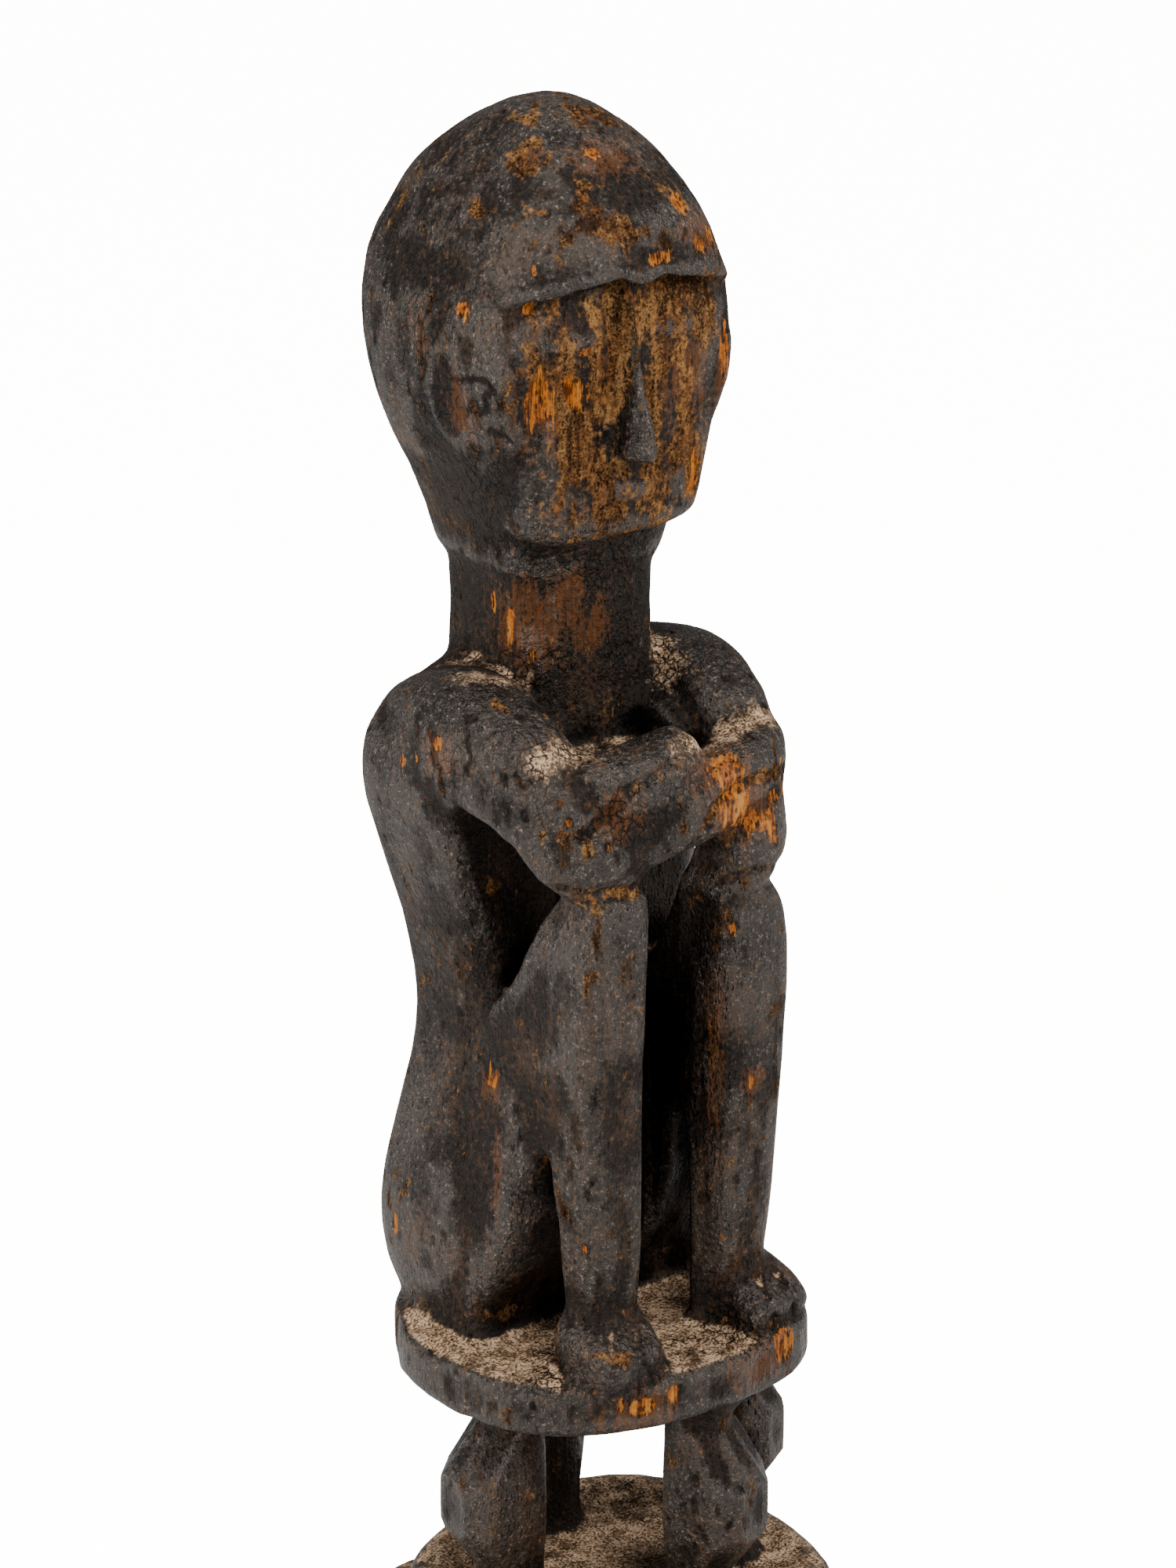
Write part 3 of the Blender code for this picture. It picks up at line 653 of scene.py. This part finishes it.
def woodMaterial():
    material = bpy.data.materials.new("smokedHardwoodCrust")
    material.use_nodes = True
    tree = material.node_tree
    tree.nodes.clear()

    def maths(operation, *values):
        sockets = {k: value for k, value in enumerate(values)}
        return addNode(tree, "ShaderNodeMath", {"operation": operation}, sockets).outputs[0]

    def times(*values):
        product = values[0]
        for value in values[1:]:
            product = maths("MULTIPLY", product, value)
        return product

    def total(*values):
        whole = values[0]
        for value in values[1:]:
            whole = maths("ADD", whole, value)
        return whole

    def step(value, low, high, start=0.0, end=1.0):
        sockets = {"Value": value, "From Min": low, "From Max": high, "To Min": start, "To Max": end}
        return addNode(tree, "ShaderNodeMapRange", {"interpolation_type": "SMOOTHSTEP"}, sockets).outputs[0]

    def blend(share, first, second):
        sockets = {0: share, 6: linear(first) if isinstance(first, str) else first,
                   7: linear(second) if isinstance(second, str) else second}
        return addNode(tree, "ShaderNodeMix", {"data_type": "RGBA"}, sockets).outputs[2]

    def field(name):
        return addNode(tree, "ShaderNodeAttribute", {"attribute_name": name}).outputs["Fac"]

    def stretched(along):
        sockets = {0: inMm, 1: (1, 1, along)}
        return addNode(tree, "ShaderNodeVectorMath", {"operation": "MULTIPLY"}, sockets).outputs[0]

    def noise(where, size, detail=3.0, rough=0.55):
        return addNode(tree, "ShaderNodeTexNoise", {"noise_dimensions": "3D"},
                       {"Vector": where, "Scale": 1 / size, "Detail": detail, "Roughness": rough}).outputs[0]

    def centred(value, amount):
        return maths("MULTIPLY", maths("SUBTRACT", value, 0.5), amount)

    place = addNode(tree, "ShaderNodeTexCoord").outputs["Object"]
    inMm = addNode(tree, "ShaderNodeVectorMath", {"operation": "SCALE"},
                   {0: place, "Scale": 1000}).outputs[0]
    upright, slanted = stretched(grainStretch), stretched(0.5)
    wide, middle = noise(inMm, wood["cloudSize"], 2), noise(slanted, wood["mottleSize"], 3)
    small, fine = noise(inMm, wood["lumpSize"], 3, 0.65), noise(inMm, wood["gritSize"], 2)
    streak = noise(upright, wood["streakSize"], 3)
    streakFine = noise(upright, wood["poreWidth"], 3, 0.7)
    paintedShade, split, bare, stain = field("paintedShade"), field("split"), field("bare"), field("stain")
    rubbedAndSheen, ochreField, dustField, crazed = field("rubbedAndSheen"), field("ochre"), field("dust"), field("crazed")

    # crust: brown-black, lighter on its blisters, brown where it is thin, with painted sheen on its edges
    shade = total(centred(middle, 0.6), centred(small, 1.1), centred(fine, 0.9), centred(streakFine, 0.4))
    colour = blend(step(shade, -0.26, 0.30), wood["crustDark"], wood["crust"])
    thin = times(step(total(wide, centred(small, 0.9), centred(streak, 0.8)), 0.46, 0.74), 0.7)
    colour = blend(thin, colour, wood["crustWarm"])
    stained = step(total(stain, centred(streak, 1.5), centred(small, 0.7)), 0.42, 0.72)
    brown = blend(step(streakFine, 0.36, 0.62), wood["crustWarm"], wood["stain"])
    colour = blend(times(stained, 0.85), colour, brown)
    # painted sheen: light grey specks that grow on convex edges and polished spots, with some random grey
    # bloom everywhere
    sheenAndBloomShare = step(total(wide, rubbedAndSheen), 0.5, 1.2, 0.12, 0.7)
    bloomAndSheenSpecks = times(step(total(fine, centred(small, 0.7)), 0.60, 0.76), sheenAndBloomShare)
    colour = blend(bloomAndSheenSpecks, colour, wood["bloomAndSheenGrey"])

    # ochre earth rubbed into the low places and the face
    patchy = noise(slanted, wood["patchSize"], 2)
    ragged = total(centred(patchy, 2.0), centred(middle, 1.5), centred(small, 1.1), centred(streak, 0.35))
    ochreShare = step(total(ochreField, ragged), 0.36, 0.74)
    fleck = maths("MAXIMUM", step(noise(slanted, wood["fleckSize"], 3, 0.7), 0.625, 0.70),
                  step(noise(inMm, wood["speckSize"], 2), 0.66, 0.74))
    ochreShare = maths("MAXIMUM", ochreShare, times(fleck, step(wide, 0.36, 0.62, 0.2, 0.85)))
    ochreTone = blend(step(total(middle, centred(small, 0.5)), 0.42, 0.68), wood["ochre"], wood["ochrePale"])
    ochreTone = blend(step(total(patchy, centred(fine, 1.0), centred(streak, 0.6)), 0.42, 0.74), ochreTone,
                      wood["ochreDark"])
    held = step(total(fine, centred(small, 0.5)), 0.25, 0.6, 0.35, 0.95)
    colour = blend(times(ochreShare, held), colour, ochreTone)

    # pale dust on ledges
    dustShare = step(total(dustField, centred(middle, 1.0), centred(small, 0.7)), 0.26, 0.84)
    dustShare = times(dustShare, step(fine, 0.30, 0.60, 0.6, 0.95))
    colour = blend(dustShare, colour, blend(step(total(fine, centred(middle, 0.6)), 0.38, 0.66),
                                            wood["dustDark"], wood["dustPale"]))

    # bare wood, lost in slivers along the grain
    torn = total(bare, centred(streak, 1.3), centred(streakFine, 0.7), centred(small, 0.3))
    bareShare = step(torn, 0.46, 0.56)
    grained = step(total(streakFine, centred(small, 0.4)), 0.40, 0.60)
    bareTone = blend(grained, wood["bareDark"], wood["bare"])
    fresh = times(step(streak, 0.50, 0.68), step(bare, 0.3, 0.8, 0.3, 1.0))
    bareTone = blend(fresh, bareTone, wood["bareLight"])
    colour = blend(times(bareShare, 0.95), colour, bareTone)

    # pores, pits, crazing and splits, and painted shade in the recesses
    pits = addNode(tree, "ShaderNodeTexVoronoi", None, {"Vector": slanted, "Scale": 1 / wood["pitCell"]})
    pitOdds = addNode(tree, "ShaderNodeSeparateXYZ", None, {0: pits.outputs["Color"]}).outputs[0]
    pit = times(step(pits.outputs["Distance"], 0.40, 0.18), step(pitOdds, 0.50, 0.60))
    wander = addNode(tree, "ShaderNodeTexNoise", None, {"Vector": inMm, "Scale": 0.4, "Detail": 3.0})
    drift = addNode(tree, "ShaderNodeVectorMath", {"operation": "SCALE"},
                    {0: wander.outputs["Color"], "Scale": 3.4})
    bentMm = addNode(tree, "ShaderNodeVectorMath", {"operation": "ADD"}, {0: inMm, 1: drift.outputs[0]})
    cells = addNode(tree, "ShaderNodeTexVoronoi", {"feature": "DISTANCE_TO_EDGE"},
                    {"Vector": bentMm.outputs[0], "Scale": 1 / wood["crackleCell"]})
    where = step(total(crazed, centred(noise(inMm, wood["crazedSize"], 2), 2.0)), 0.28, 0.60)
    crackle = times(step(cells.outputs["Distance"], 0.075, 0.02), where, step(bareShare, 1, 0))
    dark = maths("MAXIMUM", times(pit, 0.8), maths("MAXIMUM", crackle, step(split, 0.25, 0.7)))
    colour = blend(times(dark, 0.92), colour, wood["shadeAndPitBlack"])
    # painted shade: the recesses are darkened towards black
    colour = blend(times(paintedShade, 0.9), colour, wood["shadeAndPitBlack"])

    # gloss: a dull sheen on the crust, more where it is handled, none on earth and dust
    earth = maths("MAXIMUM", maths("MAXIMUM", ochreShare, dustShare), times(bareShare, 0.45))
    dry = step(total(small, centred(fine, 0.9)), 0.30, 0.72, 0.42, 0.66)
    rough = maths("SUBTRACT", dry, times(rubbedAndSheen, 0.14))
    rough = total(times(rough, maths("SUBTRACT", 1.0, earth)), times(earth, 0.9))
    shine = times(maths("SUBTRACT", 1.0, times(earth, 0.8)), step(paintedShade, 0.1, 0.8, 0.5, 0.05),
                  step(total(rubbedAndSheen, centred(wide, 1.6), centred(small, 1.2)), 0.0, 1.0, 0.35, 1.3))

    # fine relief, in mm
    blister = step(noise(slanted, wood["blisterSize"], 2), 0.50, 0.66)
    height = total(times(streakFine, 0.30), times(small, 0.95), times(fine, 0.46), times(middle, 0.7),
                   times(blister, 0.22))
    height = maths("SUBTRACT", height, total(times(pit, 0.5), times(crackle, 0.5), times(bareShare, 0.25)))
    height = total(height, times(where, step(cells.outputs["Distance"], 0.0, 0.3), 0.25))
    bump = addNode(tree, "ShaderNodeBump", None, {"Strength": 1.0, "Distance": mm, "Height": height})
    shader = addNode(tree, "ShaderNodeBsdfPrincipled", None,
                     {"Base Color": colour, "Roughness": rough, "IOR": 1.5, "Metallic": 0.0,
                      "Specular IOR Level": shine, "Specular Tint": linear(wood["sheen"]),
                      "Normal": bump.outputs[0]})
    addNode(tree, "ShaderNodeOutputMaterial", None, {"Surface": shader.outputs[0]})
    return material


hardwood = woodMaterial()
carved = closeCopy(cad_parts["carved_figure"])
print("skin meshed:", len(carved.data.vertices), "points")
fadeFacets(carved)
carve(carved)
markPatches(carved)
print("carving cut")
cutRelief(carved, hardwood)
thinOut(carved)
keepInside(carved)
print("relief cut:", len(carved.data.polygons), "triangles")
markFinish(carved)
carved.data.shade_smooth()
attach(carved, "root")
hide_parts("carved_figure")
print("figure finished")


# Studio: a pale floor, soft lights above and to both sides, and the photograph's viewpoint
studio = {
    "floor": "#f4f3f1", "floorReach": 6.0, "floorGlow": 16.0,
    "azimuth": -38, "elevation": 20, "distance": 1.5, "aim": (-0.007, -0.003, 0.325), "lens": 110.7,
    "sky": 0.22,
}
softboxes = [                                    # place, aim, width, height in metres, watts
    ((-0.25, -1.05, 1.2), (0, 0, 0.38), 0.55, 0.4, 17),
    ((1.0, -0.7, 0.75), (0, 0, 0.3), 0.3, 1.0, 9),
    ((0.0, 0.15, 1.5), (0, 0, 0.4), 0.7, 0.7, 7),
    ((-1.1, 0.35, 0.6), (0, 0, 0.3), 0.3, 1.1, 15)]


def setStudio():
    reach = studio["floorReach"]
    mesh = bpy.data.meshes.new("studioFloor")
    mesh.from_pydata([(-reach, -reach, 0), (reach, -reach, 0), (reach, reach, 0), (-reach, reach, 0)], [],
                     [(0, 1, 2, 3)])
    floor = bpy.data.objects.new("studioFloor", mesh)
    bpy.context.scene.collection.objects.link(floor)
    paint = bpy.data.materials.new("mattWhitePaper")
    paint.use_nodes = True
    tree = paint.node_tree
    tree.nodes.clear()
    paper = addNode(tree, "ShaderNodeBsdfPrincipled", None,
                    {"Base Color": linear(studio["floor"]), "Roughness": 0.9})
    glow = addNode(tree, "ShaderNodeEmission", None,
                   {"Color": linear(studio["floor"]), "Strength": studio["floorGlow"]})
    lit = addNode(tree, "ShaderNodeAddShader", None, {0: paper.outputs[0], 1: glow.outputs[0]})
    seen = addNode(tree, "ShaderNodeLightPath").outputs["Is Camera Ray"]
    either = addNode(tree, "ShaderNodeMixShader", None, {0: seen, 1: paper.outputs[0], 2: lit.outputs[0]})
    addNode(tree, "ShaderNodeOutputMaterial", None, {"Surface": either.outputs[0]})
    mesh.materials.append(paint)
    sky = bpy.data.worlds.new("studioSky")
    bpy.context.scene.world = sky
    sky.use_nodes = True
    sky.node_tree.nodes["Background"].inputs["Color"].default_value = (1, 1, 1, 1)
    sky.node_tree.nodes["Background"].inputs["Strength"].default_value = studio["sky"]
    for place, aim, wide, high, watts in softboxes:
        lamp = bpy.data.lights.new("softbox", "AREA")
        lamp.shape, lamp.size, lamp.size_y, lamp.energy = "RECTANGLE", wide, high, watts
        box = bpy.data.objects.new("softbox", lamp)
        box.location = place
        box.rotation_euler = (Vector(aim) - Vector(place)).to_track_quat("-Z", "Y").to_euler()
        bpy.context.scene.collection.objects.link(box)


def setCamera():
    a, e = radians(studio["azimuth"]), radians(studio["elevation"])
    back = Vector((sin(a) * cos(e), -cos(a) * cos(e), sin(e)))
    lens = bpy.data.cameras.new("viewpoint")
    lens.lens = studio["lens"]
    camera = bpy.data.objects.new("viewpoint", lens)
    camera.location = Vector(studio["aim"]) + back * studio["distance"]
    camera.rotation_euler = back.to_track_quat("Z", "Y").to_euler()
    bpy.context.scene.collection.objects.link(camera)
    bpy.context.scene.camera = camera


setStudio()
setCamera()
print("studio set")
